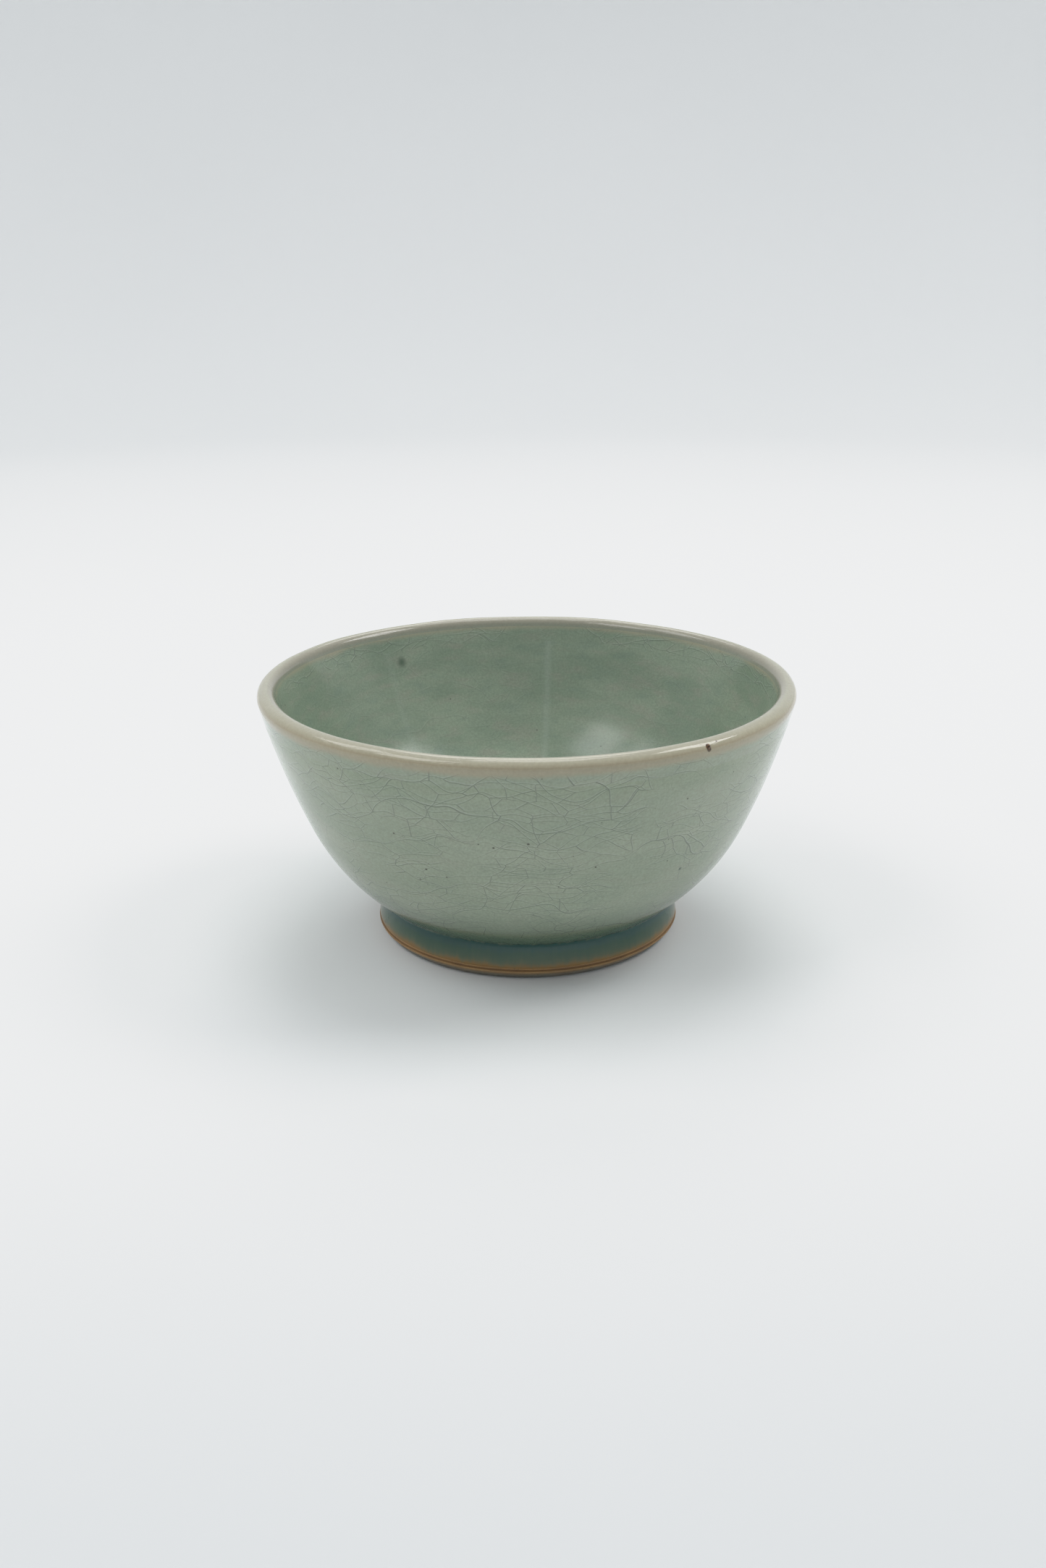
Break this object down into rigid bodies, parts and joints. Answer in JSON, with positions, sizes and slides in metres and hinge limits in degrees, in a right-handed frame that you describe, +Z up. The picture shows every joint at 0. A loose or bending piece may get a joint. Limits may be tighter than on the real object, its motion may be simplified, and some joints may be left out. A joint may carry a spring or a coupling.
{
  "type": "matcha bowl",
  "caption": "Stoneware matcha bowl with a flared wall and a turned foot ring, under a crackled grey-green celadon glaze with a thin buff lip.",
  "frame": {"origin": "centre of the foot ring's resting plane", "axes": "+Z up along the bowl's axis of turning, out of its mouth; -Y towards the side seen first, with the large iron spot between -Y and +X"},
  "size_m": [0.12, 0.12, 0.0585],
  "materials": {
    "stoneware": "matte",
    "toasted_clay": "matte",
    "celadon": "gloss",
    "thin_glaze": "gloss",
    "pooled_glaze": "gloss",
    "iron": "satin"
  },
  "bodies": {
    "root": {"clay_bowl": "stoneware", "foot_ring": "toasted_clay", "inside_glaze": "celadon", "outside_glaze": "celadon", "lip_glaze": "thin_glaze", "neck_glaze": "pooled_glaze", "hollow_glaze": "pooled_glaze", "iron_spot": "iron"}
  },
  "joints": []
}
